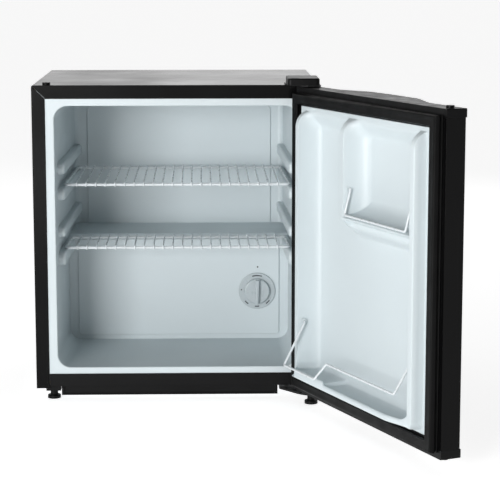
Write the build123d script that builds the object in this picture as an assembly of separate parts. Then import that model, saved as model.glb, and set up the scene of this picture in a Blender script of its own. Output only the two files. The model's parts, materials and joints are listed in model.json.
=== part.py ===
from build123d import *
import os
from math import atan, cos, degrees, radians, sin

# A 46 litre table-top refrigerator with its door open, in millimetres.
# The model is drawn about the middle of the cabinet's footprint: +X to the right as seen
# from the front, +Y to the rear, +Z up. It is then moved so that the origin lies on the
# floor under the door's hinge axis.

# ---- cabinet ----
WIDTH = 445.0
HALF = WIDTH / 2
FRONT = -185.0            # plane of the cabinet's front strips
REAR = 185.0
WRAP_BOTTOM = 18.0
TOP = 495.0
SHEET = 0.8               # steel sheet
STRIP = 20.7              # width of the folded front strips
STRIP_INNER = HALF - STRIP
STRIP_TOP = TOP - 21.0
PAN_Z = 22.2              # underside of the base pan
PAN_X = HALF - SHEET      # sheets between the side walls end here
TOP_SCREWS = ((185, -172), (205, -172))
TOP_SPARE_HOLE = (-200, -172)     # for a hinge on the left
TOP_HOLES = [(*place, 2.1) for place in TOP_SCREWS] + [(*TOP_SPARE_HOLE, 4.0)]

# ---- bay for the compressor, under a step in the base pan ----
BAY_FRONT = 61.0
BAY_TOP = 200.0
CAN_X, CAN_Y = -55.0, 122.0       # compressor
BOLTS = [(x, y) for x in (-122, 12) for y in (93, 151)]
PLATE_Z = (20.0, 21.5)            # mounting plate
REAR_FEET = ((-200, 165), (200, 165))

# ---- liner ----
LINER = 2.0               # thickness
MOUTH_HALF = 188.3        # half width of the cavity at the front
MOUTH_Z = (51.5, 463.0)
BACK_HALF = 180.0
BACK_Z = (54.0, 459.0)
BACK_Y = 145.0
HUMP_Y = 20.0             # front face of the hump over the compressor bay
HUMP_Z = 232.5
EVAPORATOR_Y = 150.9
EVAPORATOR_R = 2.7
PANEL_RAISE = 2.0
RIB_DEPTH = 11.0
RIBS_Z = ((352, 370), (311, 330), (252, 269), (207, 228.8))

# ---- shelves ----
RAIL_R = 2.25
WIRE_R = 1.25
WIRES = 22
WIRE_PITCH = 15.2
SHELF_FRONT = -115.0
SHELF_HALF_FRONT = 178.5
SHELVES = {"upper_shelf": (332.3, 118.0), "lower_shelf": (231.1, -9.0)}   # rail height, rear

# ---- thermostat ----
DIAL_X, DIAL_Z = 131.0, 135.0
DIAL_R = 30.7
KNOB_R = 21.3
SPINDLE_R = 3.0

# ---- hinge axis, feet and door ----
HINGE_X, HINGE_Y = 208.5, -219.0
LEFT_FOOT = (-196, -171)
BRACKET_SCREWS = ((172, -163), (205, -163))
DOOR_OPEN = 113.1         # degrees from closed
DOOR_Y = -198.5           # the door's inner frame plane when closed
DOOR_BOTTOM, DOOR_TOP = 21.3, 494.5
CAP_H = 12.0
SKIN_Z = (DOOR_BOTTOM + CAP_H, DOOR_TOP - CAP_H)
DOOR_T = 30.0             # thickness beside the raised middle
BULGE_T = 53.0            # thickness at the raised middle
SKIN = 1.2
CAP_PROUD = 1.8
GASKET = (8.5, 27.0)      # from the door's edge to the gasket's outer and inner side
GASKET_N = 13.1
FLANGE_N = 5.0
WALL_N = 23.0             # crest of the door liner's walls
POCKET_N = -12.0
LINER_BACK_N = -14.0
PIN_R = 3.0
PIN_FIT = 0.05            # radial clearance of every turning fit

# ---- bails: wire guards that swing on the door ----
BAIL_R = 1.75
BAIL_N = 13.4
LOWER_BAIL_Z, LOWER_TILT = 141.0, 29.0
UPPER_BAIL_Z, UPPER_TILT = 362.0, 15.0

# ---- condenser ----
COIL_Y = 214.0
COIL_R = 2.5
COIL_Z = (214.0, 474.0)
COIL_RUNS = 11
COIL_HALF = 178.0
CLIPS = [(x, z) for x in (-170, 170) for z in (236, 452)]

# ---- pipes between the compressor, the condenser and the evaporator ----
PIPE_X = 192.0            # risers beside the condenser
PIPE_Z = 186.0            # height at which pipes leave the bay
SUCTION_X, SUCTION_R = 148.0, 2.6
CAPILLARY_X, CAPILLARY_R = -155.0, 0.9
DRIER_Z = 125.0

parts = {}


def block(x0, x1, y0, y1, z0, z1):
    return Pos((x0 + x1) / 2, (y0 + y1) / 2, (z0 + z1) / 2) * Box(x1 - x0, y1 - y0, z1 - z0)


def mirrored(shape):
    return shape.mirror(Plane.YZ)


def prism_x(points, x0, x1):
    """A prism along X over an outline of (y, z) points."""
    face = make_face(Plane.YZ * Polyline(*points, close=True))
    return Pos(x0, 0, 0) * extrude(face, x1 - x0, dir=(1, 0, 0))


def disc(x, y, z0, z1, r):
    return Pos(x, y, (z0 + z1) / 2) * Cylinder(r, z1 - z0)


def rod_y(x, z, y0, y1, r):
    return Pos(x, (y0 + y1) / 2, z) * Rot(90, 0, 0) * Cylinder(r, y1 - y0)


def rod_x(y, z, x0, x1, r):
    return Pos((x0 + x1) / 2, y, z) * Rot(0, 90, 0) * Cylinder(r, x1 - x0)


def bent_rod(points, bend, r, close=False):
    """A round bar or tube along straight runs joined by arcs."""
    path = FilletPolyline(*points, radius=bend, close=close)
    return sweep(Plane(origin=path @ 0, z_dir=path % 0) * Circle(r), path=path)


def group(shapes):
    """Separate solids that share one node."""
    return Compound([solid for shape in shapes for solid in shape.solids()])


def add(node, shape):
    parts[node] = Pos(-HINGE_X, -HINGE_Y, 0) * shape


# ---------------------------------------------------------------- cabinet shell

def outer_wrap():
    shell = block(-HALF, HALF, FRONT, REAR, WRAP_BOTTOM, TOP)
    top_edges = shell.edges().filter_by(Axis.Y).group_by(Axis.Z)[-1]
    shell = fillet(top_edges, 3.0)
    hollow = block(-PAN_X, PAN_X, FRONT + SHEET, REAR, WRAP_BOTTOM, TOP - SHEET)
    hollow = fillet(hollow.edges().filter_by(Axis.Y).group_by(Axis.Z)[-1], 3.0 - SHEET)
    mouth = block(-STRIP_INNER, STRIP_INNER, FRONT, FRONT + SHEET, WRAP_BOTTOM, STRIP_TOP)
    wrap = shell - hollow - mouth
    mitre = Pos(HALF - STRIP / 2 - 1.2, FRONT, TOP - STRIP / 2 - 1.2) * Rot(0, -45, 0)
    mitre = mitre * Box(STRIP * 1.25, 3 * SHEET, 0.5)
    wrap = wrap - mitre - mirrored(mitre)
    for x, y, r in TOP_HOLES:
        wrap = wrap - disc(x, y, TOP - 3, TOP + 1, r)
    return wrap


def bottom_front_bar():
    bar = block(-STRIP_INNER + 0.2, STRIP_INNER - 0.2, FRONT, FRONT + 6, 21.2, 41.3)
    return bar - block(-HALF, HALF, FRONT + SHEET, FRONT + 7, 22.0, 42)


def base_pan():
    """Floor sheet, riser in front of the compressor and roof over it."""
    z, t = PAN_Z, SHEET
    outline = [
        (FRONT + 7, z), (BAY_FRONT, z), (BAY_FRONT, BAY_TOP - t), (REAR - t, BAY_TOP - t),
        (REAR - t, BAY_TOP), (BAY_FRONT - t, BAY_TOP), (BAY_FRONT - t, z + t), (FRONT + 7, z + t),
    ]
    pan = prism_x(outline, -PAN_X, PAN_X)
    for x, r in ((SUCTION_X, 4.0), (CAPILLARY_X, 1.3)):
        pan = pan - disc(x, EVAPORATOR_Y, BAY_TOP - 2, BAY_TOP + 1, r)
    return pan


def rear_panel():
    panel = block(-PAN_X, PAN_X, REAR - SHEET, REAR, BAY_TOP, TOP - SHEET - 2.2)
    for x, z in CLIPS:
        panel = panel - rod_y(x, z, REAR - 2, REAR + 1, 2.0)
    return panel


# ---------------------------------------------------------------- liner and insulation

def cavity(grow):
    """The cold space, or with grow the outside of the liner around it."""
    def section(y, half, low, high, r):
        place = Plane(origin=(0, y, (low + high) / 2), x_dir=(1, 0, 0), z_dir=(0, -1, 0))
        return place * RectangleRounded(2 * half, high - low, r)

    mouth = section(FRONT + SHEET, MOUTH_HALF + grow, MOUTH_Z[0] - grow, MOUTH_Z[1] + grow, 21)
    back = section(BACK_Y + grow, BACK_HALF + grow, BACK_Z[0] - grow, BACK_Z[1] + grow, 18)
    space = loft([mouth, back])
    space = fillet(space.faces().sort_by(Axis.Y)[-1].edges(), 10)
    hump = block(-HALF, HALF, HUMP_Y + grow, REAR, 0, HUMP_Z - grow)
    hump = fillet(hump.edges().filter_by(Axis.X).group_by(Axis.Z)[-1].sort_by(Axis.Y)[0], 8)
    return space - hump


def side_rib(low, high):
    """A shelf guide on the right wall, with a rounded front end."""
    taper = degrees(atan((MOUTH_HALF - BACK_HALF) / (BACK_Y - FRONT)))
    length = 320.0
    rib = extrude(Plane.YZ * SlotOverall(length, high - low), 30)
    rib = fillet(rib.faces().sort_by(Axis.X)[0].edges(), 4)
    start_y = -147.0
    wall_x = MOUTH_HALF - (start_y - FRONT) * sin(radians(taper))
    place = Pos(wall_x - RIB_DEPTH, start_y, (low + high) / 2) * Rot(0, 0, taper)
    return place * Pos(0, length / 2, 0) * rib


def wall_panels():
    """Raised fields of the rear wall and of the hump's face."""
    rear = block(-158, 158, BACK_Y - PANEL_RAISE, BACK_Y + 1, HUMP_Z - 1, 437)
    rear = fillet(rear.edges().filter_by(Axis.Y).group_by(Axis.Z)[-1], 9)
    face = block(-168, 168, HUMP_Y - PANEL_RAISE, HUMP_Y + 1, 61, HUMP_Z - 9)
    face = fillet(face.edges().filter_by(Axis.Y), 6)
    return rear, face


def liner():
    flange = block(-215, 215, FRONT + SHEET, FRONT + SHEET + LINER, 30, 488)
    space = cavity(0)
    for low, high in RIBS_Z:
        rib = side_rib(low, high)
        space = space - rib - mirrored(rib)
    for panel in wall_panels():
        space = space - panel
    shell = flange + cavity(LINER) - space
    rim = [
        edge for edge in shell.edges()
        if abs(edge.center().Y - FRONT - SHEET) < 0.01 and edge.bounding_box().size.Y < 0.01
        and abs(edge.center().X) < MOUTH_HALF + 1 and MOUTH_Z[0] - 1 < edge.center().Z < MOUTH_Z[1] + 1
    ]
    shell = fillet(rim, 1.6)
    return shell - rod_y(DIAL_X, DIAL_Z, 0, HUMP_Y + 8, SPINDLE_R + 1.5)


def foam():
    body = block(-PAN_X, PAN_X, FRONT + SHEET + LINER, REAR - SHEET, PAN_Z + SHEET, TOP - 3)
    body = body - cavity(LINER)
    body = body - block(-HALF, HALF, BAY_FRONT - SHEET, REAR, 0, BAY_TOP)
    body = body - block(-HALF, HALF, FRONT, FRONT + 7, 0, 42)
    pocket = block(-156, 156, BACK_Y + LINER, BACK_Y + LINER + 9, 242, 436)
    thermostat = block(DIAL_X - 32, DIAL_X + 32, HUMP_Y + LINER, HUMP_Y + 32, DIAL_Z - 22, DIAL_Z + 22)
    body = body - pocket - thermostat
    for x, y, r in TOP_HOLES:
        body = body - disc(x, y, TOP - 16, TOP + 1, r)
    for x, z in CLIPS:
        body = body - rod_y(x, z, REAR - 12, REAR + 1, 2.0)
    for x, r in ((SUCTION_X, SUCTION_R + 0.2), (CAPILLARY_X, CAPILLARY_R + 0.2)):
        body = body - disc(x, EVAPORATOR_Y, BAY_TOP - 1, 243, r)
    return body


def evaporator():
    """Plate and serpentine tube behind the rear wall."""
    plate = block(-150, 150, BACK_Y + LINER, BACK_Y + LINER + 1.2, 246, 432)
    rows = [260 + 26 * i for i in range(7)]
    points = []
    for i, z in enumerate(rows):
        ends = (-135, 135) if i % 2 == 0 else (135, -135)
        points += [(ends[0], EVAPORATOR_Y, z), (ends[1], EVAPORATOR_Y, z)]
    return plate, bent_rod(points, 11, EVAPORATOR_R)


# ---------------------------------------------------------------- cooling circuit

def compressor():
    can = disc(CAN_X, CAN_Y, 35, 163, 50)
    can = fillet(can.edges(), 24)
    seam = disc(CAN_X, CAN_Y, 101.5, 106.5, 53)
    legs = block(CAN_X - 75, CAN_X + 75, CAN_Y - 37, CAN_Y + 37, 33.5, 36.5)
    legs = fillet(legs.edges().filter_by(Axis.Z), 10)
    stubs = disc(CAN_X + 30, CAN_Y, 155, 168, 4.2) + disc(CAN_X - 25, CAN_Y - 12, 155, 170, 4.2)
    for x, y in BOLTS:
        legs = legs - disc(x, y, 30, 40, 5.05)
    return can + seam + legs + stubs


def compressor_plate():
    plate = block(-PAN_X, PAN_X, BAY_FRONT + 4, REAR - SHEET, *PLATE_Z)
    plate = plate - block(-HALF, -158, BAY_FRONT + 30, REAR - 60, 19, 23)
    for x, y in (*BOLTS, *REAR_FEET):
        plate = plate - disc(x, y, 18, 24, 3.05)
    return plate


def compressor_grommets():
    rings = []
    for x, y in BOLTS:
        body = disc(x, y, PLATE_Z[1], 33.5, 9.0) + disc(x, y, 33.5, 39, 5.0)
        rings.append(body - disc(x, y, 20, 40, 3.0))
    return group(rings)


def compressor_bolts():
    bolts = []
    for x, y in BOLTS:
        ends = disc(x, y, 39, 41.5, 6.5) + disc(x, y, 17, PLATE_Z[0], 5)
        bolts.append(disc(x, y, 17, 40.5, 2.9) + ends)
    return group(bolts)


def relay_box():
    box = block(-2.0, 34, 104, 140, 70, 118)
    box = fillet(box.edges().filter_by(Axis.X), 5)
    return box - disc(CAN_X, CAN_Y, 35, 163, 50)


def terminal_box():
    """Mains terminal box on the riser, with a hollow gland that points to the rear."""
    box = block(110, 160, BAY_FRONT, BAY_FRONT + 36, 60, 105)
    box = fillet(box.edges().filter_by(Axis.Y), 4)
    bore = rod_y(135, 82, BAY_FRONT + 20, BAY_FRONT + 52, 4.0)
    gland = rod_y(135, 82, BAY_FRONT + 36, BAY_FRONT + 50, 9.0)
    return box - bore, gland - bore


def condenser_points():
    rows = [COIL_Z[1] - i * (COIL_Z[1] - COIL_Z[0]) / (COIL_RUNS - 1) for i in range(COIL_RUNS)]
    points = []
    for i, z in enumerate(rows):
        side = -COIL_HALF if i % 2 == 0 else COIL_HALF
        points += [(side, COIL_Y, z), (-side, COIL_Y, z)]
    return points


def condenser_wires():
    count = 27
    pitch = 2 * (COIL_HALF - 22) / (count - 1)
    wires = []
    for side in (-1, 1):
        y = COIL_Y + side * (COIL_R + 0.75)
        for i in range(count):
            x = -COIL_HALF + 22 + i * pitch
            wires.append(disc(x, y, COIL_Z[0] - 8, COIL_Z[1] + 8, 0.8))
    return group(wires)


def condenser_clips():
    """Stand-offs that hold the condenser off the rear panel."""
    clips = []
    for x, z in CLIPS:
        body = block(x - 7, x + 7, REAR, COIL_Y - COIL_R, z - 5, z + 5)
        body = body - block(x - 4, x + 4, REAR + 6, COIL_Y, z - 6, z + 6)
        base = block(x - 10, x + 10, REAR, REAR + 2.5, z - 9, z + 9)
        hook = block(x - 7, x + 7, COIL_Y - COIL_R - 2, COIL_Y - COIL_R, z - 16, z + 16)
        clips.append(body + base + hook - rod_y(x, z, REAR - 1, REAR + 4, 2.0))
    return group(clips)


def filter_drier():
    return Pos(PIPE_X, EVAPORATOR_Y, DRIER_Z) * (Cylinder(8, 70) + Cylinder(3, 92))


def pipework():
    """Lines in the order the refrigerant takes them; pipes butt against each other's ends."""
    gap, y, drier = 0.05, EVAPORATOR_Y, 46.0
    discharge = [
        (CAN_X - 25, CAN_Y - 12, 170 + gap), (CAN_X - 25, CAN_Y - 12, PIPE_Z), (-150, CAN_Y - 12, PIPE_Z),
        (-PIPE_X, y, PIPE_Z), (-PIPE_X, COIL_Y, PIPE_Z), (-PIPE_X, COIL_Y, COIL_Z[1]),
        (-COIL_HALF - gap, COIL_Y, COIL_Z[1]),
    ]
    liquid = [
        (COIL_HALF + gap, COIL_Y, COIL_Z[0]), (PIPE_X, COIL_Y, COIL_Z[0]), (PIPE_X, COIL_Y, PIPE_Z),
        (PIPE_X, y, PIPE_Z), (PIPE_X, y, DRIER_Z + drier + gap),
    ]
    capillary = [
        (PIPE_X, y, DRIER_Z - drier - gap), (PIPE_X, y, 64), (172, y, 64), (172, y, 176),
        (CAPILLARY_X, y, 176), (CAPILLARY_X, y, 260), (-135 - gap, y, 260),
    ]
    suction = [
        (135 + gap, y, 416), (SUCTION_X, y, 416), (SUCTION_X, y, 184), (60, y, 184),
        (CAN_X + 30, CAN_Y, 184), (CAN_X + 30, CAN_Y, 168 + gap),
    ]
    return {
        "discharge_tube": bent_rod(discharge, 12, 2.4),
        "liquid_tube": bent_rod(liquid, 12, 2.4),
        "capillary_tube": bent_rod(capillary, 4, CAPILLARY_R),
        "suction_tube": bent_rod(suction, 10, SUCTION_R),
    }


# ---------------------------------------------------------------- feet and hinges

def levelling_foot(x, y, stem_top):
    pad = disc(x, y, 0, 5.5, 10.3)
    pad = fillet(pad.edges().group_by(Axis.Z)[-1], 1.5)
    neck = disc(x, y, 5.5, 12.0, 6.0)
    stem = disc(x, y, 12.0, stem_top, 4.0 - PIN_FIT)
    return pad + neck + stem


def hinge_bottom_bracket():
    outline = [(HALF - 1.5, FRONT + 36), (HALF - 1.5, -222), (HALF - 6, -231), (200, -231),
               (188, -222), (160, FRONT - 1), (160, FRONT + 36)]
    plate = extrude(make_face(Polyline(*outline, close=True)), 3)
    plate = Pos(0, 0, 15) * plate
    plate = plate - disc(HINGE_X, HINGE_Y, 14, 19, 4.0)
    for x, y in BRACKET_SCREWS:
        plate = plate - disc(x, y, 14, 19, 2.65)
    return plate


def hinge_top_plate():
    outline = [(HALF - 2, FRONT + 34), (HALF - 2, -226), (HALF - 7, -231), (200, -231),
               (190, -224), (168, FRONT - 2), (168, FRONT + 34)]
    plate = Pos(0, 0, TOP) * extrude(make_face(Polyline(*outline, close=True)), 2.5)
    plate = plate - disc(HINGE_X, HINGE_Y, TOP - 1, TOP + 4, PIN_R + 0.02)
    for x, y in TOP_SCREWS:
        plate = plate - disc(x, y, TOP - 1, TOP + 4, 2.15)
    return plate


def hinge_top_cover():
    x0, x1, y0, y1, z0, z1 = 170, 218.5, -232, -160, TOP + 2.5, TOP + 13
    cover = block(x0, x1, y0, y1, z0, z1)
    cover = fillet(cover.edges().filter_by(Axis.Z), 5)
    cover = fillet(cover.faces().sort_by(Axis.Z)[-1].edges(), 2)
    return cover - block(x0 + 2, x1 - 2, y0 + 2, y1 - 2, z0, z1 - 2)


def hinge_pin_top():
    return disc(HINGE_X, HINGE_Y, DOOR_TOP - CAP_H - 4, TOP + 2.5, PIN_R) \
        + disc(HINGE_X, HINGE_Y, TOP + 2.5, TOP + 5, 6.0)


def hinge_pin_bottom():
    return disc(HINGE_X, HINGE_Y, 18, 20.6, 8.0) + disc(HINGE_X, HINGE_Y, 20.6, 35.5, PIN_R)


def screw(x, y, z, length, head_r, r):
    """A pan-head screw that points down from a face at z."""
    head = disc(x, y, z, z + 2.2, head_r)
    head = fillet(head.edges().group_by(Axis.Z)[-1], 1.0)
    slot = block(x - head_r * 0.6, x + head_r * 0.6, y - 0.5, y + 0.5, z + 1.2, z + 3)
    cross = block(x - 0.5, x + 0.5, y - head_r * 0.6, y + head_r * 0.6, z + 1.2, z + 3)
    return head + disc(x, y, z - length, z, r) - slot - cross


# ---------------------------------------------------------------- door, drawn closed

def slab(w0, w1, n0, n1, z0, z1):
    """A block in the door's terms: w from the hinged edge, n inwards from the frame plane."""
    return block(HALF - w1, HALF - w0, DOOR_Y + n0, DOOR_Y + n1, z0, z1)


def fin(w0, w1, outline):
    """A prism along the door's width over (n, z) points."""
    return prism_x([(DOOR_Y + n, z) for n, z in outline], HALF - w1, HALF - w0)


def door_outline(inset, proud=0.0):
    """The door's plan: a flat box with a raised middle band and soft shoulders."""
    side, back = inset, inset - proud
    flat, high = -DOOR_T + back, -BULGE_T + back
    points = [
        (side, -inset), (side, flat), (82, flat), (134, high), (206, high - 2.2),
        (278, high), (345, flat), (WIDTH - side, flat), (WIDTH - side, -inset),
    ]
    radii = [2.0, 60.0, 60.0, 200.0, 60.0, 60.0, 2.0]
    vertices = [(HALF - w, DOOR_Y + n) for w, n in points]
    rounded = FilletPolyline(*vertices, radius=radii)
    return make_face(rounded.edges() + [Line(vertices[-1], vertices[0])])


def raise_face(face, z0, z1):
    return Pos(0, 0, z0) * extrude(face, z1 - z0, dir=(0, 0, 1))


def door_skin():
    skin = raise_face(door_outline(0), *SKIN_Z) - raise_face(door_outline(SKIN), *SKIN_Z)
    return skin - slab(GASKET[0] + 10, WIDTH - GASKET[0] - 10, -SKIN - 0.1, 1, *SKIN_Z)


def door_cap(z0, top):
    """End cap of the door, hollow towards the skin and open for the hinge bushing."""
    cap = raise_face(door_outline(0, CAP_PROUD), z0, z0 + CAP_H)
    outer_face = cap.faces().sort_by(Axis.Z)[-1 if top else 0]
    cap = fillet(outer_face.edges().filter_by(lambda e: e.center().Y < DOOR_Y - DOOR_T), 1.2)
    hollow = raise_face(door_outline(2.5), z0, z0 + CAP_H)
    keep = block(-HALF, HALF, -400, 0, z0 + CAP_H - 2.5, z0 + CAP_H) if top \
        else block(-HALF, HALF, -400, 0, z0, z0 + 2.5)
    boss = disc(HINGE_X, HINGE_Y, z0, z0 + CAP_H, 9.0)
    return cap - (hollow - keep - boss) - disc(HINGE_X, HINGE_Y, z0 - 1, z0 + CAP_H + 1, 6.0)


def door_bushing(z0):
    return disc(HINGE_X, HINGE_Y, z0, z0 + CAP_H - 0.3, 6.0) \
        - disc(HINGE_X, HINGE_Y, z0 - 1, z0 + CAP_H + 1, PIN_R + PIN_FIT)


WALLS_W = ((42, 55), (387, 403))
WALL_BOTTOM = 60.0                # clears the rounded corner of the cabinet's mouth
DIVIDER_W = (188, 200)
DIVIDER_BOTTOM = 300.0
PIVOTS = [(55, LOWER_BAIL_Z, -1), (387, LOWER_BAIL_Z, 1), (200, UPPER_BAIL_Z, -1), (387, UPPER_BAIL_Z, 1)]


def wall_fin(w0, w1, bottom):
    """A wall of the door liner, whose top corner is a quarter round down to the flange."""
    corner = 24.0
    fin_body = fin(w0, w1, [(LINER_BACK_N, bottom), (WALL_N, bottom), (WALL_N, 462), (LINER_BACK_N, 462)])
    top_edge = fin_body.edges().filter_by(Axis.X).group_by(Axis.Z)[-1].sort_by(Axis.Y)[-1]
    fin_body = fillet(top_edge, corner)
    crest = [
        edge for edge in fin_body.edges()
        if edge.bounding_box().size.X < 0.01 and edge.center().Y > DOOR_Y + FLANGE_N + 8
        and edge.center().Z > bottom + 1
    ]
    return fillet(crest, 3.0)


def sill():
    """Bottle shelf at the foot of the door, with a low lip along its front."""
    outline = [(48, -2), (48, 31), (335, 31), (372, 25), (392, 20), (392, -2)]
    floor = make_face(Polyline(*[(HALF - w, DOOR_Y + n) for w, n in outline], close=True))
    inner = [(51, -20), (51, 27), (334, 27), (371, 21), (386, 16), (386, -20)]
    hollow = make_face(Polyline(*[(HALF - w, DOOR_Y + n) for w, n in inner], close=True))
    body = raise_face(floor, 54.5, 68) - raise_face(hollow, 60.5, 70)
    step = slab(55, 150, LINER_BACK_N, 26, 60.5, 66.5)
    return body + step


def door_liner():
    plate = slab(27, WIDTH - 27, LINER_BACK_N, FLANGE_N, 48.3, 467.5)
    plate = fillet(plate.edges().filter_by(Axis.Y), 3)
    recess = slab(55, 387, POCKET_N, FLANGE_N + 1, 60.5, 458)
    recess = fillet(recess.edges().filter_by(Axis.Y).group_by(Axis.Z)[-1], 12)
    recess = fillet(recess.faces().sort_by(Axis.Y)[0].edges().filter_by(Axis.Z), 8)
    body = plate - recess
    for w0, w1 in WALLS_W:
        body = body + wall_fin(w0, w1, WALL_BOTTOM)
    body = body + wall_fin(*DIVIDER_W, DIVIDER_BOTTOM)
    ledge = [(LINER_BACK_N, 326), (20, 324), (23, 321), (20, 316), (LINER_BACK_N, 283)]
    body = body + fin(DIVIDER_W[1] - 2, 388, ledge) + sill()
    for core in liner_cores():
        body = body - core
    for w, z, side in PIVOTS:
        x = HALF - w
        body = body - rod_x(DOOR_Y + BAIL_N, z, x - 4, x + 4, 4.0)
    return body


def liner_cores():
    """Foam that fills the door liner's hollow walls."""
    places = ((44.5, 51.5, WALL_BOTTOM + 5), (390.5, 400.5, WALL_BOTTOM + 5), (190.5, 196.5, 330))
    return [slab(w0, w1, LINER_BACK_N, 19, bottom, 436) for w0, w1, bottom in places]


def door_foam():
    body = raise_face(door_outline(SKIN), *SKIN_Z)
    body = body - slab(27, WIDTH - 27, LINER_BACK_N, 1, 48.3, 467.5)
    body = body - disc(HINGE_X, HINGE_Y, SKIN_Z[0] - 1, SKIN_Z[0] + 4, 7)
    body = body - disc(HINGE_X, HINGE_Y, SKIN_Z[1] - 6, SKIN_Z[1] + 1, 7)
    for core in liner_cores():
        body = body + core
    return body


def frame_strips(outer, inner, n0, n1, edge_radius=0.0):
    """Four mitred strips around the door, between two distances from its edges."""
    low, high = DOOR_BOTTOM, DOOR_TOP
    ring = slab(outer, WIDTH - outer, n0, n1, low + outer, high - outer)
    if edge_radius:
        ring = fillet(ring.faces().sort_by(Axis.Y)[-1].edges(), edge_radius)
    ring = ring - slab(inner, WIDTH - inner, n0 - 1, n1 + 1, low + inner, high - inner)
    x0, x1, reach = -HALF, HALF, 60.0
    corners = [(x0, low), (x1, low), (x1, high), (x0, high)]
    towards = [(x0 + reach, low + reach), (x1 - reach, low + reach),
               (x1 - reach, high - reach), (x0 + reach, high - reach)]
    strips = []
    for i in range(4):
        j = (i + 1) % 4
        quad = make_face(Plane.XZ * Polyline(corners[i], corners[j], towards[j], towards[i], close=True))
        wedge = Pos(0, DOOR_Y + n1 + 1, 0) * extrude(quad, n1 - n0 + 2, dir=(0, -1, 0))
        strips.append(ring & wedge)
    return strips


def grommet(w, z, side):
    """A bush in a liner wall; side is the way from the pocket into the wall."""
    x = HALF - w
    into, out = x - side * 3.4, x + side * 1.6
    body = rod_x(DOOR_Y + BAIL_N, z, min(into, x), max(into, x), 4.0)
    collar = rod_x(DOOR_Y + BAIL_N, z, min(out, x), max(out, x), 5.2)
    bore = rod_x(DOOR_Y + BAIL_N, z, x - 6, x + 6, BAIL_R + PIN_FIT)
    return body + collar - bore


def bail(z, tilt, outline):
    """A bent wire guard; outline gives (w, depth below the pivot)."""
    points = [
        (HALF - w, DOOR_Y + BAIL_N + d * sin(radians(tilt)), z - d * cos(radians(tilt)))
        for w, d in outline
    ]
    return bent_rod(points, 3.2, BAIL_R)


LOWER_BAIL = [(52.3, 0), (60, 0), (60, 73), (162, 73), (175, 45.7), (377, 45.7), (381.5, 0), (389.7, 0)]
UPPER_BAIL = [(197.3, 0), (205, 0), (205, 38.4), (381, 38.4), (381, 0), (389.7, 0)]


# ---------------------------------------------------------------- shelves and thermostat

def shelf(z, rear):
    half_rear = SHELF_HALF_FRONT - (rear - SHELF_FRONT) * 0.0235
    corners = [(SHELF_HALF_FRONT, SHELF_FRONT, z), (half_rear, rear, z),
               (-half_rear, rear, z), (-SHELF_HALF_FRONT, SHELF_FRONT, z)]
    frame = bent_rod(corners, 7, RAIL_R, close=True)
    lift = z + RAIL_R + WIRE_R - 0.3
    nose = SHELF_FRONT - RAIL_R - WIRE_R + 0.3
    wire = bent_rod([(0, rear + 3, lift), (0, nose, lift), (0, nose, z - 2.5)], 2.0, WIRE_R)
    first = -WIRE_PITCH * (WIRES - 1) / 2
    return frame.fuse(*[Pos(first + i * WIRE_PITCH, 0, 0) * wire for i in range(WIRES)])


def thermostat_dial():
    y1 = HUMP_Y - PANEL_RAISE - 0.4
    plate = rod_y(DIAL_X, DIAL_Z, y1 - 2.4, y1, DIAL_R)
    plate = fillet(plate.edges().group_by(Axis.Y)[0], 1.0)
    knob = rod_y(DIAL_X, DIAL_Z, y1 - 9, y1 - 2.4, KNOB_R)
    knob = fillet(knob.edges().group_by(Axis.Y)[0], 2.5)
    grip = Pos(DIAL_X, y1 - 9.5, DIAL_Z) * Box(6, 15, 2 * KNOB_R - 3)
    grip = fillet(grip.faces().sort_by(Axis.Y)[0].edges(), 1.5)
    return Pos(DIAL_X, 0, DIAL_Z) * Rot(0, 2.5, 0) * Pos(-DIAL_X, 0, -DIAL_Z) * (plate + knob + grip)


def thermostat_body():
    box = block(DIAL_X - 30, DIAL_X + 30, HUMP_Y + 3, HUMP_Y + 30, DIAL_Z - 20, DIAL_Z + 20)
    bush = rod_y(DIAL_X, DIAL_Z, HUMP_Y - PANEL_RAISE + 0.2, HUMP_Y + 3, SPINDLE_R + 1.4)
    return box + bush - rod_y(DIAL_X, DIAL_Z, 0, HUMP_Y + 24, SPINDLE_R + PIN_FIT)


# ---------------------------------------------------------------- assembly

def build_cabinet():
    add("outer_wrap", outer_wrap())
    add("bottom_front_bar", bottom_front_bar())
    add("base_pan", base_pan())
    add("rear_panel", rear_panel())
    add("liner", liner())
    add("cabinet_foam", foam())
    skirt = block(-184, 158, -173, -169, 4, PAN_Z) - block(-180, 154, -174, -170.5, 6, 20)
    add("toe_skirt", skirt)
    add("front_left_bracket", block(-208, -185, -178.8, -161, 12.5, PAN_Z) - disc(*LEFT_FOOT, 12, 23, 4.0))
    add("rear_feet", group([
        disc(x, y, 0, PLATE_Z[0], 9) + disc(x, y, PLATE_Z[1], 24, 6) + disc(x, y, 19, 22, 3)
        for x, y in REAR_FEET]))
    x, y = TOP_SPARE_HOLE
    add("top_hole_plug", disc(x, y, TOP - 12, TOP, 3.9) + disc(x, y, TOP, TOP + 3.5, 6.2))


def build_hinges():
    add("hinge_bottom_bracket", hinge_bottom_bracket())
    add("hinge_pin_bottom", hinge_pin_bottom())
    add("hinge_top_plate", hinge_top_plate())
    add("hinge_pin_top", hinge_pin_top())
    add("hinge_top_cover", hinge_top_cover())
    add("hinge_top_screws", group([screw(x, y, TOP + 2.5, 16, 4.2, 2.05) for x, y in TOP_SCREWS]))
    flip = Pos(0, 0, 30) * Rot(180, 0, 0)
    add("hinge_bottom_screws", group([
        flip * screw(x, -y, 15, 6.5, 4.4, 2.6) for x, y in BRACKET_SCREWS]))
    add("front_right_foot", levelling_foot(HINGE_X, HINGE_Y, 17.8))
    add("front_left_foot", levelling_foot(*LEFT_FOOT, 22.0))


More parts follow.
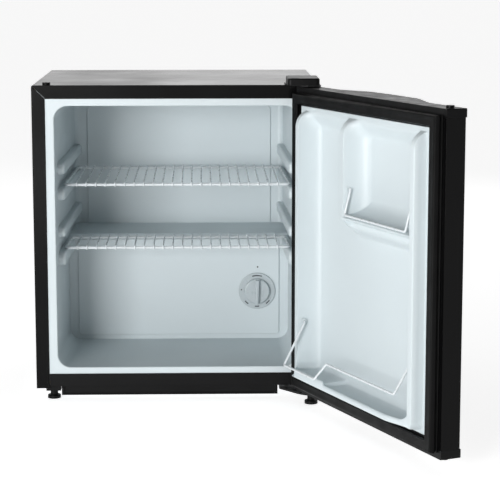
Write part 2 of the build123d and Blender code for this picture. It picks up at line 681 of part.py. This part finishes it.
def build_cooling():
    add("compressor", compressor())
    add("compressor_plate", compressor_plate())
    add("compressor_grommets", compressor_grommets())
    add("compressor_bolts", compressor_bolts())
    add("relay_box", relay_box())
    box, gland = terminal_box()
    add("terminal_box", box)
    add("cord_gland", gland)
    plate, tube = evaporator()
    add("evaporator_plate", plate)
    add("evaporator_tube", tube)
    add("condenser_tube", bent_rod(condenser_points(), 12, COIL_R))
    add("condenser_wires", condenser_wires())
    add("condenser_clips", condenser_clips())
    add("filter_drier", filter_drier())
    for name, pipe in pipework().items():
        add(name, pipe)


def build_inside():
    for name, (z, rear) in SHELVES.items():
        add(name, shelf(z, rear))
    add("thermostat_body", thermostat_body())
    add("thermostat_dial", thermostat_dial())
    add("thermostat_spindle", rod_y(DIAL_X, DIAL_Z, HUMP_Y - PANEL_RAISE - 0.4, HUMP_Y + 22, SPINDLE_R))


def build_door():
    swing = Pos(HINGE_X, HINGE_Y, 0) * Rot(0, 0, DOOR_OPEN) * Pos(-HINGE_X, -HINGE_Y, 0)
    gasket = frame_strips(*GASKET, 0, GASKET_N, edge_radius=3.0)
    magnets = frame_strips(12, 22, 8, 11.5)
    pieces = {
        "door_skin": door_skin(),
        "door_cap_top": door_cap(SKIN_Z[1], True),
        "door_cap_bottom": door_cap(DOOR_BOTTOM, False),
        "door_bushing_top": door_bushing(SKIN_Z[1]),
        "door_bushing_bottom": door_bushing(DOOR_BOTTOM + 0.3),
        "door_liner": door_liner(),
        "door_foam": door_foam(),
        "gasket": group([strip - magnet for strip, magnet in zip(gasket, magnets)]),
        "gasket_magnets": group(magnets),
        "bail_grommets": group([grommet(*pivot) for pivot in PIVOTS]),
        "lower_bail": bail(LOWER_BAIL_Z, LOWER_TILT, LOWER_BAIL),
        "upper_bail": bail(UPPER_BAIL_Z, UPPER_TILT, UPPER_BAIL),
        "door_plugs": group([
            disc(HALF - 430, DOOR_Y - 14, z, z + 3.5, 5.6) for z in (DOOR_TOP, DOOR_BOTTOM - 3.5)]),
    }
    for name, piece in pieces.items():
        add(name, swing * piece)


os.makedirs("parts", exist_ok=True)
build_cabinet()
build_hinges()
build_cooling()
build_inside()
build_door()
for node, shape in parts.items():
    export_step(shape, f"parts/{node}.step")
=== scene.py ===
import json
import math

import bmesh
import bpy
import numpy as np
from mathutils import Matrix, Vector


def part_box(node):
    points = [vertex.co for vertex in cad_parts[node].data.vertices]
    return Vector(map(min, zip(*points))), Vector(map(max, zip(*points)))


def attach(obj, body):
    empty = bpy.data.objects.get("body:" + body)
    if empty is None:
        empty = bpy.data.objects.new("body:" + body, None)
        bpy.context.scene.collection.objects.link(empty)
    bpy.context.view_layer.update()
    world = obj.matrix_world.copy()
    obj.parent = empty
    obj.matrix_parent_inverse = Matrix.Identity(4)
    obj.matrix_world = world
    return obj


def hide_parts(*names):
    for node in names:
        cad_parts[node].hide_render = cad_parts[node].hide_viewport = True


# A mini fridge with its door open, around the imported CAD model. Lengths are in metres unless a
# name ends in MM. The frame's origin is on the floor under the door's hinge axis.

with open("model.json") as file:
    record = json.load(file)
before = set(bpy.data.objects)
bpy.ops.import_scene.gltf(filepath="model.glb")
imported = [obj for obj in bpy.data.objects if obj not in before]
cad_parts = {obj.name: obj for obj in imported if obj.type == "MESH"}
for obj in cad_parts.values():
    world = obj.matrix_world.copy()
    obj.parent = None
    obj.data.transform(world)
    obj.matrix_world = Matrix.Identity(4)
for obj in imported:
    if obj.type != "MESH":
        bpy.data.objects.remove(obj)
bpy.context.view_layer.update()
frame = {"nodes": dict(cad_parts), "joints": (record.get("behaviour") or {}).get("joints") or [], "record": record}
nodes = frame["nodes"]
joints = {j["name"]: j for j in frame["joints"]}
MM = 0.001

# ---- the door's own terms: w from its hinged edge, n inwards from its frame plane, z up ----
DOOR_ANGLE = -math.radians(joints["door_hinge"]["range_deg"][0])
HINGE_TO_EDGE_MM = 14.0
HINGE_TO_FRAME_MM = 20.5
DOOR_WIDTH_MM = 445.0
DOOR_Z_MM = (21.3, 494.5)
DOOR_SWING = Matrix.Rotation(DOOR_ANGLE, 4, "Z")


def door_point(w, n, z):
    """A point of the open door from its own terms, in millimetres, to the frame's metres."""
    closed = Vector(((HINGE_TO_EDGE_MM - w) * MM, (HINGE_TO_FRAME_MM + n) * MM, z * MM))
    return DOOR_SWING @ closed


# ---------------------------------------------------------------- camera, floor and light

def make_camera():
    """Looks slightly down and to the right, from about 2.8 m in front."""
    data = bpy.data.cameras.new("camera")
    camera = bpy.data.objects.new("camera", data)
    bpy.context.scene.collection.objects.link(camera)
    data.sensor_width = 36.0
    data.lens = 129.9
    data.clip_start, data.clip_end = 0.05, 60
    camera.location = (-0.1697, -2.7459, 0.6934)
    pitch, yaw = math.radians(90 - 9.308), math.radians(-1.546)
    camera.rotation_euler = (pitch, 0, yaw)
    bpy.context.scene.camera = camera


def area_light(name, place, target, size, power):
    """A white softbox of width and height size that faces a target."""
    data = bpy.data.lights.new(name, "AREA")
    data.shape = "RECTANGLE"
    data.size, data.size_y = size
    data.energy = power
    light = bpy.data.objects.new(name, data)
    light.location = place
    light.rotation_euler = (Vector(target) - Vector(place)).to_track_quat("-Z", "Y").to_euler()
    bpy.context.scene.collection.objects.link(light)


def make_world():
    """A studio that is white behind the object and dim in front of it and overhead."""
    world = bpy.data.worlds.new("studio")
    world.use_nodes = True
    tree = world.node_tree
    background = tree.nodes["Background"]
    axes = tree.nodes.new("ShaderNodeSeparateXYZ")
    tree.links.new(tree.nodes.new("ShaderNodeTexCoord").outputs["Generated"], axes.inputs["Vector"])
    depth, height = (tree.nodes.new("ShaderNodeMapRange") for _ in range(2))
    front_strength, overhead_strength = 0.28, 0.2
    turns = (
        (depth, "Y", (-0.2, 0.5), (front_strength, 1.0)),
        (height, "Z", (0.1, 0.7), (1.0, overhead_strength)),
    )
    for ranged, axis, given, result in turns:
        ranged.interpolation_type = "SMOOTHSTEP"
        for socket, value in zip(("From Min", "From Max", "To Min", "To Max"), (*given, *result)):
            ranged.inputs[socket].default_value = value
        tree.links.new(axes.outputs[axis], ranged.inputs["Value"])
    product = tree.nodes.new("ShaderNodeMath")
    product.operation = "MULTIPLY"
    tree.links.new(depth.outputs["Result"], product.inputs[0])
    tree.links.new(height.outputs["Result"], product.inputs[1])
    tree.links.new(product.outputs["Value"], background.inputs["Strength"])
    background.inputs["Color"].default_value = (1, 1, 1, 1)
    bpy.context.scene.world = world


def make_stage():
    """A wide floor that glows faintly, like a light table, and the lamps around the object."""
    mesh = bpy.data.meshes.new("floor")
    reach = 45.0
    corners = [(-reach, -reach, 0), (reach, -reach, 0), (reach, reach, 0), (-reach, reach, 0)]
    mesh.from_pydata(corners, [], [(0, 1, 2, 3)])
    floor = bpy.data.objects.new("floor", mesh)
    bpy.context.scene.collection.objects.link(floor)
    material = bpy.data.materials.new("stage_floor")
    material.use_nodes = True
    shader = material.node_tree.nodes["Principled BSDF"]
    shader.inputs["Base Color"].default_value = (0.9, 0.9, 0.9, 1)
    shader.inputs["Roughness"].default_value = 0.95
    shader.inputs["Specular IOR Level"].default_value = 0.05
    shader.inputs["Emission Color"].default_value = (1, 1, 1, 1)
    shader.inputs["Emission Strength"].default_value = 0.74
    mesh.materials.append(material)
    make_world()
    area_light("key", (-1.6, -3.1, 0.58), (-0.1, 0.0, 0.3), (1.3, 1.0), 86)
    area_light("side", (-3.0, -1.5, 0.8), (0.1, -0.2, 0.25), (1.2, 1.2), 9)
    area_light("rim", (0.6, 2.4, 1.4), (-0.1, 0.1, 0.3), (2.0, 1.2), 6)
    bpy.context.scene.view_settings.view_transform = "Standard"


# ---------------------------------------------------------------- materials

class Shader:
    """A material's node tree with short calls for what the materials below share."""

    def __init__(self, name, colour, roughness, **sockets):
        self.material = bpy.data.materials.new(name)
        self.material.use_nodes = True
        self.tree = self.material.node_tree
        self.bsdf = self.tree.nodes["Principled BSDF"]
        self.colour, self.roughness = colour, roughness
        self.set("Base Color", (*colour, 1))
        self.set("Roughness", roughness)
        for socket, value in sockets.items():
            self.set(socket.replace("_", " "), value)
        self.place = self.node("ShaderNodeTexCoord").outputs["Object"]

    def node(self, kind, **settings):
        made = self.tree.nodes.new(kind)
        for key, value in settings.items():
            setattr(made, key, value)
        return made

    def set(self, socket, value):
        self.bsdf.inputs[socket].default_value = value

    def link(self, output, target):
        self.tree.links.new(output, target)

    def noise(self, scale, detail, stretch=None):
        texture = self.node("ShaderNodeTexNoise")
        texture.inputs["Scale"].default_value = scale
        texture.inputs["Detail"].default_value = detail
        source = self.place
        if stretch:
            mapping = self.node("ShaderNodeMapping")
            mapping.inputs["Scale"].default_value = stretch
            self.link(source, mapping.inputs["Vector"])
            source = mapping.outputs["Vector"]
        self.link(source, texture.inputs["Vector"])
        return texture.outputs["Fac"]

    def span(self, value, low, high):
        """Maps a texture's middle range on low to high."""
        ranged = self.node("ShaderNodeMapRange")
        ranged.inputs["From Min"].default_value = 0.3
        ranged.inputs["From Max"].default_value = 0.7
        ranged.inputs["To Min"].default_value = low
        ranged.inputs["To Max"].default_value = high
        self.link(value, ranged.inputs["Value"])
        return ranged.outputs["Result"]

    def vary_roughness(self, value, spread):
        low = max(0.02, self.roughness - spread)
        self.link(self.span(value, low, self.roughness + spread), self.bsdf.inputs["Roughness"])

    def vary_colour(self, value, low, high):
        """Shades the base colour between two multiples of itself."""
        ramp = self.node("ShaderNodeValToRGB")
        ramp.color_ramp.elements[0].position = 0.3
        ramp.color_ramp.elements[1].position = 0.7
        for element, share in zip(ramp.color_ramp.elements, (low, high)):
            element.color = (*[min(1.0, c * share) for c in self.colour], 1)
        self.link(value, ramp.inputs["Fac"])
        self.link(ramp.outputs["Color"], self.bsdf.inputs["Base Color"])

    def bump(self, value, strength, distance, edge=0.0):
        """Raises the surface by a texture; edge rounds corners by that radius as well."""
        bump = self.node("ShaderNodeBump")
        bump.inputs["Strength"].default_value = strength
        bump.inputs["Distance"].default_value = distance
        self.link(value, bump.inputs["Height"])
        if edge:
            bevel = self.node("ShaderNodeBevel", samples=4)
            bevel.inputs["Radius"].default_value = edge
            self.link(bevel.outputs["Normal"], bump.inputs["Normal"])
        self.link(bump.outputs["Normal"], self.bsdf.inputs["Normal"])


def black_enamel():
    """Baked enamel on sheet steel: deep, smooth, with a faint orange peel."""
    s = Shader("black_enamel", (0.0022, 0.0022, 0.0023), 0.22, Specular_IOR_Level=0.10)
    s.vary_roughness(s.noise(9, 4), 0.04)
    s.vary_colour(s.noise(3.0, 2), 0.85, 1.25)
    s.bump(s.noise(420, 2), 0.03, 0.0005, edge=0.0006)
    return s.material


def black_plastic():
    """Moulded plastic with a fine spark texture."""
    s = Shader("black_plastic", (0.0025, 0.0025, 0.0027), 0.42, Specular_IOR_Level=0.12)
    s.vary_roughness(s.noise(60, 5), 0.08)
    s.vary_colour(s.noise(14, 3), 0.8, 1.4)
    s.bump(s.noise(1900, 3), 0.22, 0.0004, edge=0.0007)
    return s.material


def black_steel():
    """Thin paint over steel, with the metal's grain under it."""
    s = Shader("black_steel", (0.006, 0.006, 0.0065), 0.36, Specular_IOR_Level=0.25)
    s.vary_roughness(s.noise(40, 4), 0.07)
    s.vary_colour(s.noise(22, 3), 0.8, 1.3)
    s.bump(s.noise(800, 3), 0.1, 0.0004, edge=0.0004)
    return s.material


def white_liner():
    """Vacuum-formed polystyrene: a satin sheen over faint waves."""
    s = Shader("white_liner", (0.55, 0.61, 0.632), 0.40, Specular_IOR_Level=0.4)
    s.vary_roughness(s.noise(12, 3), 0.04)
    s.vary_colour(s.noise(5, 3), 0.98, 1.02)
    s.bump(s.noise(9, 2), 0.05, 0.0012, edge=0.0016)
    return s.material


def white_wire():
    """Powder-coated wire, with the coat's small runs and pores."""
    s = Shader("white_wire", (0.64, 0.68, 0.70), 0.30, Specular_IOR_Level=0.5)
    s.vary_roughness(s.noise(180, 3), 0.08)
    s.vary_colour(s.noise(70, 3), 0.93, 1.03)
    s.bump(s.noise(900, 3), 0.12, 0.0004)
    return s.material


def gasket_rubber():
    """Matt extruded vinyl."""
    s = Shader("gasket_rubber", (0.0022, 0.0022, 0.0023), 0.5, Specular_IOR_Level=0.12)
    s.vary_roughness(s.noise(35, 4), 0.08)
    s.vary_colour(s.noise(28, 4), 0.75, 1.5)
    s.bump(s.noise(700, 3), 0.12, 0.0003)
    return s.material


def insulation():
    """Rigid foam with its cells showing."""
    s = Shader("insulation", (0.80, 0.66, 0.36), 0.9)
    s.vary_colour(s.noise(60, 5), 0.8, 1.1)
    s.bump(s.noise(500, 4), 0.6, 0.001)
    return s.material


def bare_metal(name, colour, roughness, stretch):
    """Plated or rolled metal, with blotches and streaks along the axes that stretch shortens."""
    scale = 130
    s = Shader(name, colour, roughness, Metallic=1.0)
    s.vary_roughness(s.noise(scale, 4, stretch), 0.1)
    s.vary_colour(s.noise(18, 4), 0.8, 1.1)
    s.bump(s.noise(scale * 4, 3, stretch), 0.06, 0.0003, edge=0.0003)
    return s.material


def galvanised():
    """Zinc spangle: crystals of slightly different grey."""
    s = Shader("galvanised", (0.50, 0.52, 0.53), 0.42, Metallic=1.0)
    cells = s.node("ShaderNodeTexVoronoi")
    cells.inputs["Scale"].default_value = 95
    s.link(s.place, cells.inputs["Vector"])
    s.vary_colour(cells.outputs["Color"], 0.78, 1.12)
    s.vary_roughness(s.noise(45, 4), 0.1)
    s.bump(s.noise(240, 3), 0.06, 0.0004)
    return s.material


def painted_black(name, roughness):
    """Black paint, rubber or ferrite, told apart by roughness."""
    s = Shader(name, (0.012, 0.012, 0.012), roughness, Specular_IOR_Level=0.5)
    s.vary_roughness(s.noise(50, 4), 0.08)
    s.vary_colour(s.noise(30, 4), 0.7, 1.6)
    s.bump(s.noise(350, 3), 0.15, 0.0005)
    return s.material


def dial_grey():
    """Smooth moulded plastic, a shade darker than the liner."""
    s = Shader("dial_grey", (0.42, 0.47, 0.49), 0.30, Specular_IOR_Level=0.5, Coat_Weight=0.2)
    s.vary_roughness(s.noise(80, 3), 0.05)
    s.vary_colour(s.noise(20, 3), 0.96, 1.03)
    s.bump(s.noise(900, 2), 0.05, 0.0003, edge=0.0005)
    return s.material


def soft_white(name, colour, roughness):
    s = Shader(name, colour, roughness, Specular_IOR_Level=0.5)
    s.vary_roughness(s.noise(90, 3), 0.06)
    s.vary_colour(s.noise(40, 3), 0.94, 1.03)
    s.bump(s.noise(600, 2), 0.05, 0.0003, edge=0.0004)
    return s.material


def printed_ink():
    s = Shader("printed_ink", (0.03, 0.035, 0.04), 0.5)
    s.vary_colour(s.noise(900, 3), 0.8, 1.4)
    s.vary_roughness(s.noise(300, 3), 0.08)
    return s.material


MATERIALS = {
    "black_enamel": black_enamel(),
    "black_plastic": black_plastic(),
    "black_steel": black_steel(),
    "white_liner": white_liner(),
    "white_wire": white_wire(),
    "gasket_rubber": gasket_rubber(),
    "magnet": painted_black("magnet", 0.7),
    "insulation": insulation(),
    "zinc_steel": bare_metal("zinc_steel", (0.62, 0.62, 0.60), 0.32, (1, 1, 1)),
    "galvanised": galvanised(),
    "copper": bare_metal("copper", (0.74, 0.38, 0.23), 0.28, (1, 1, 0.3)),
    "aluminium": bare_metal("aluminium", (0.72, 0.73, 0.74), 0.36, (0.1, 1, 1)),
    "compressor_black": painted_black("compressor_black", 0.26),
    "condenser_black": painted_black("condenser_black", 0.42),
    "dial_grey": dial_grey(),
    "black_rubber": painted_black("black_rubber", 0.7),
    "acetal": soft_white("acetal", (0.80, 0.80, 0.76), 0.35),
    "printed_ink": printed_ink(),
}


def dress_nodes():
    """Gives every CAD node the material of its slot."""
    for entry in frame["record"]["subparts"]:
        node = nodes[entry["node"]]
        node.data.materials.clear()
        node.data.materials.append(MATERIALS[entry["material_slot"]])


# ---------------------------------------------------------------- mesh helpers

def new_piece(name, points, faces, material, body):
    """A smooth-shaded mesh object that rides a body, with the given material in its one slot."""
    mesh = bpy.data.meshes.new(name)
    mesh.from_pydata([tuple(p) for p in points], [], faces)
    work = bmesh.new()
    work.from_mesh(mesh)
    bmesh.ops.recalc_face_normals(work, faces=work.faces)
    work.to_mesh(mesh)
    work.free()
    mesh.materials.append(MATERIALS[material])
    for polygon in mesh.polygons:
        polygon.use_smooth = True
    piece = bpy.data.objects.new(name, mesh)
    bpy.context.scene.collection.objects.link(piece)
    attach(piece, body)
    return piece


def sharpen(piece, degrees):
    """Keeps edges steeper than an angle crisp on a smooth-shaded piece."""
    piece.data.set_sharp_from_angle(angle=math.radians(degrees))


def smooth_step(t, a, b):
    """0 at a, 1 at b, with soft ends. b may be below a."""
    x = np.clip((t - a) / (b - a), 0, 1)
    return x * x * (3 - 2 * x)


def smooth_loop(points, per_side):
    """A closed Catmull-Rom curve through points in a plane."""
    p = np.array(points, float)
    count = len(p)
    loop = []
    for i in range(count):
        a, b, c, d = (p[(i + k) % count] for k in (-1, 0, 1, 2))
        for j in range(per_side):
            t = j / per_side
            loop.append(0.5 * (2 * b + (c - a) * t + (2 * a - 5 * b + 4 * c - d) * t * t
                               + (3 * b - a - 3 * c + d) * t ** 3))
    return loop


# ---------------------------------------------------------------- door liner

# All lengths in this section are millimetres in the door's own terms.

FLANGE_N = 5.0                    # the rim under the gasket
WALL_N = 23.0                     # crests of the walls
POCKET_N = -12.0                  # back of the pockets
BACK_N = -13.5                    # hidden back of the moulding
FLANGE_W = (27.0, 418.0)
FLANGE_Z = (48.3, 467.5)
WALL_OUT = (42.0, 403.0)          # outer faces of the two side walls
CREST_W = (52.0, 391.0)           # inner ends of the side walls' crests
DIVIDER_W = (188.5, 199.5)        # crest between the two upper pockets
LEDGE_W = (176.0, 194.0)          # where the ledge's left end rises
UNDERSIDE_Z = 286.0               # where the ledge's underside leaves the back
LEDGE_Z = 324.0
LEDGE_TOP = 321.0
SILL_TOP = 62.0
STEP_W = (148.0, 154.0)           # end of the raised floor under the tall pocket


def wall_height(w, inner_left, inner_right):
    """0 in the pockets and 1 on the crest of the side walls, across the door."""
    left = (1 - np.clip((w - CREST_W[0]) / (inner_left - CREST_W[0]), 0, 1)) ** 2.6
    right = smooth_step(w, inner_right, CREST_W[1])
    return np.maximum(left, right)


def crest_round(z):
    """How far the walls stand out near their top, where they turn down to the flange."""
    radius, start = 24.0, 438.0
    drop = np.clip(z - start, 0, radius - 0.01)
    return WALL_N - radius + np.sqrt(radius ** 2 - drop ** 2)


def moulding_edge(w, z):
    """0 on the flange and 1 on the moulding, whose two lower corners are rounded."""
    radius, bottom = 11.0, 52.5
    across = np.minimum(w - WALL_OUT[0], WALL_OUT[1] - w)
    up = z - bottom
    corner = radius - np.hypot(np.maximum(radius - across, 0), np.maximum(radius - up, 0))
    return smooth_step(np.minimum(np.minimum(across, up), corner), -0.8, 1.4)


def liner_depth(w, z):
    """The moulded face of the door liner above its bottom sill: n over (w, z)."""
    crest = np.maximum(crest_round(z), FLANGE_N)
    pocket = FLANGE_N + (POCKET_N - FLANGE_N) * smooth_step(z, 460, 434)
    walls = pocket + (crest - pocket) * wall_height(w, 67, 382.9)
    fall_off = 1.5 + 25 * smooth_step(z, LEDGE_Z - 2, LEDGE_Z + 2)
    beyond = np.clip((w - DIVIDER_W[1]) / fall_off, 0, 1)
    divider_height = smooth_step(w, LEDGE_W[0], DIVIDER_W[0]) * (1 - beyond) ** 3
    divider_height = divider_height * smooth_step(z, UNDERSIDE_Z, LEDGE_Z - 3)
    divider = pocket + (crest - pocket) * divider_height
    under = 0.62 * smooth_step(z, UNDERSIDE_Z, 308) + 0.38 * smooth_step(z, LEDGE_Z - 12, LEDGE_Z - 4)
    bowl = np.clip((z - LEDGE_TOP) / 27, 0, 1)
    ledge_height = smooth_step(w, *LEDGE_W) * under * (1 - bowl) ** 2.6
    ledge = POCKET_N + (WALL_N - POCKET_N) * ledge_height
    inside = np.maximum.reduce([walls, divider, ledge])
    return FLANGE_N + (inside - FLANGE_N) * moulding_edge(w, z)


def sill_reach(w):
    """How far the bottle sill stands out: drawn in to the wall's crest at the free side."""
    left = 27 + 4 * smooth_step(w, WALL_OUT[0], 50)
    return left - 8.0 * smooth_step(w, 335, 388)


def floor_level(w):
    """The sill's floor: a step up under the tall pocket."""
    return 60.3 + 5.4 * (1 - smooth_step(w, *STEP_W))


def liner_column(w, heights):
    """One section of the door liner: (n, z) from the top flange down to the bottom flange."""
    face = [(float(liner_depth(w, z)), z) for z in heights]
    back = face[-1][0]
    reach, floor = float(sill_reach(w)), float(floor_level(w))
    lip = max(SILL_TOP, floor + 1.6) + 2.5
    inner = max(reach - 6.0, back + 0.5)
    run = inner - back
    sill = [
        (back + 0.6, floor + 3.0), (back + 3.0, floor + 0.9), (back + run * 0.35, floor + 0.4),
        (back + run * 0.7, floor), (inner - 0.8, floor + 0.2), (inner + 0.9, floor + 1.4),
        (reach - 4.0, lip - 1.4), (reach - 2.6, lip - 0.2), (reach - 1.1, lip - 0.6),
        (reach - 0.15, lip - 2.4), (reach, 60.0), (reach - 0.6, 56.4), (reach - 2.6, 54.8),
        (FLANGE_N + 2.5, 54.2), (FLANGE_N + 0.5, 53.4), (FLANGE_N, 51.6), (FLANGE_N, FLANGE_Z[0]),
    ]
    wall_z = (71.9, 71.7, 71.5, 71.3, 71.1, 70.9, 70.5, 70.0, 69.0, 66.5, 60.0)
    wall = float(wall_height(np.float64(w), 60, 370))
    tail = []
    for i, (n, z) in enumerate(sill):
        if i < len(wall_z):
            n += (max(back, WALL_N) - n) * wall
            z += (wall_z[i] - z) * wall
        tail.append((FLANGE_N + (n - FLANGE_N) * float(moulding_edge(w, z)), z))
    return face + tail


def axis_values(breaks):
    """Sample places along an axis: (start, step) pairs, each up to the next start."""
    values = []
    for (start, step), (end, _) in zip(breaks, breaks[1:]):
        count = max(1, round(abs(end - start) / step))
        values += [start + (end - start) * i / count for i in range(count)]
    return values + [breaks[-1][0]]


def grid_rim(columns, rows):
    """The indices around a grid of points that is stored column by column."""
    last = (columns - 1) * rows
    rim = list(range(rows)) + [c * rows + rows - 1 for c in range(1, columns)]
    rim += [last + r for r in range(rows - 2, -1, -1)]
    return rim + [c * rows for c in range(columns - 2, 0, -1)]


def make_door_liner():
    """The moulded face as a grid of columns, closed by a skirt and a flat back."""
    columns = axis_values([
        (FLANGE_W[0], 5), (40, 0.6), (45, 1.2), (52, 1.5), (70, 6), (146, 1.5), (156, 4), (174, 1.2),
        (228, 5), (334, 4), (366, 1.2), (398, 0.8), (405, 5), (FLANGE_W[1], 1)])
    heights = axis_values([
        (FLANGE_Z[1], 2), (432, 6), (352, 1.5), (331, 0.7), (306, 2), (284, 6), (96, 2.4), (72, 1)])
    face = [(w, n, z) for w in columns for n, z in liner_column(w, heights)]
    rows = len(face) // len(columns)
    faces = [
        (c * rows + r, c * rows + r + 1, (c + 1) * rows + r + 1, (c + 1) * rows + r)
        for c in range(len(columns) - 1) for r in range(rows - 1)
    ]
    rim = grid_rim(len(columns), rows)
    back = [(face[index][0], BACK_N, face[index][2]) for index in rim]
    start, count = len(face), len(rim)
    for i in range(count):
        j = (i + 1) % count
        faces.append((rim[i], start + i, start + j, rim[j]))
    faces.append(tuple(start + i for i in range(count)))
    points = [door_point(*place) for place in face + back]
    piece = new_piece("door_liner_moulding", points, faces, "white_liner", "door")
    sharpen(piece, 50)
    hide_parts("door_liner")


# ---------------------------------------------------------------- gasket

def make_gasket():
    """A magnetic seal: foot, folded bellows and the flat bag that holds the magnet strip.

    The section is (distance from the door's edge, n); four mitred corners join the sides.
    """
    section = [
        (9.2, 0.0), (8.7, 1.6), (10.4, 3.2), (8.8, 4.9), (8.7, 7.6), (9.6, 11.4), (11.6, 12.9),
        (16.8, 12.6), (22.2, 12.9), (23.9, 11.7), (24.0, 9.0), (21.6, 7.6), (21.8, 6.4), (25.4, 5.4),
        (26.8, 3.4), (26.8, 1.2), (26.2, 0.0), (20.0, 0.3), (14.0, 0.3),
    ]
    thickness = 13.0
    loop = smooth_loop(section, 5)
    points = []
    for e, n in loop:
        n = min(max(n, 0.0), thickness)
        left, right = e, DOOR_WIDTH_MM - e
        low, high = DOOR_Z_MM[0] + e, DOOR_Z_MM[1] - e
        for w, z in ((left, low), (right, low), (right, high), (left, high)):
            points.append(door_point(w, n, z))
    faces = []
    for i in range(len(loop)):
        j = (i + 1) % len(loop)
        for k in range(4):
            m = (k + 1) % 4
            faces.append((4 * i + k, 4 * i + m, 4 * j + m, 4 * j + k))
    piece = new_piece("gasket_profile", points, faces, "gasket_rubber", "door")
    sharpen(piece, 60)
    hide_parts("gasket")


# ---------------------------------------------------------------- thermostat marks

INK = 0.12 * MM                   # thickness of a printed mark


def printed_arc(name, centre, radius, middle_deg, half_deg, half_width, y, body):
    """A printed bar bent along a circle that faces the front; angles from +X towards +Z."""
    steps = 12
    points = []
    for i in range(steps + 1):
        a = math.radians(middle_deg - half_deg + 2 * half_deg * i / steps)
        for r in (radius - half_width, radius + half_width):
            for depth in (0.0, INK):
                points.append((centre[0] + r * math.cos(a), y - depth, centre[1] + r * math.sin(a)))
    faces = []
    for i in range(steps):
        a, b = 4 * i, 4 * (i + 1)
        faces += [(a, b, b + 1, a + 1), (a + 2, a + 3, b + 3, b + 2)]
        faces += [(a, a + 2, b + 2, b), (a + 1, b + 1, b + 3, a + 3)]
    end = 4 * steps
    faces += [(0, 1, 3, 2), (end, end + 2, end + 3, end + 1)]
    new_piece(name, points, faces, "printed_ink", body)


def make_dial_marks():
    """Plain marks around the dial's knob and the index dot on the wall above it."""
    low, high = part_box("thermostat_dial")
    x, z = (low.x + high.x) / 2, (low.z + high.z) / 2
    plate_y = high.y - 2.4 * MM
    ring, half_width = 26.2 * MM, 0.9 * MM
    marks = [("dial_mark_widest", 90, 18)]
    for index, (angle, half) in enumerate(((175, 2.5), (228, 8), (270, 8), (314, 9))):
        marks.append((f"dial_mark_{index}", angle, half))
    for name, angle, half in marks:
        printed_arc(name, (x, z), ring, angle, half, half_width, plate_y, "thermostat_dial")
    wall_y = high.y + 0.4 * MM
    dot = (x + 1.0 * MM, z + 40.5 * MM)
    printed_arc("index_dot", dot, 0.7 * MM, 90, 179.9, 0.65 * MM, wall_y, "cabinet")


make_camera()
make_stage()
dress_nodes()
make_door_liner()
make_gasket()
make_dial_marks()
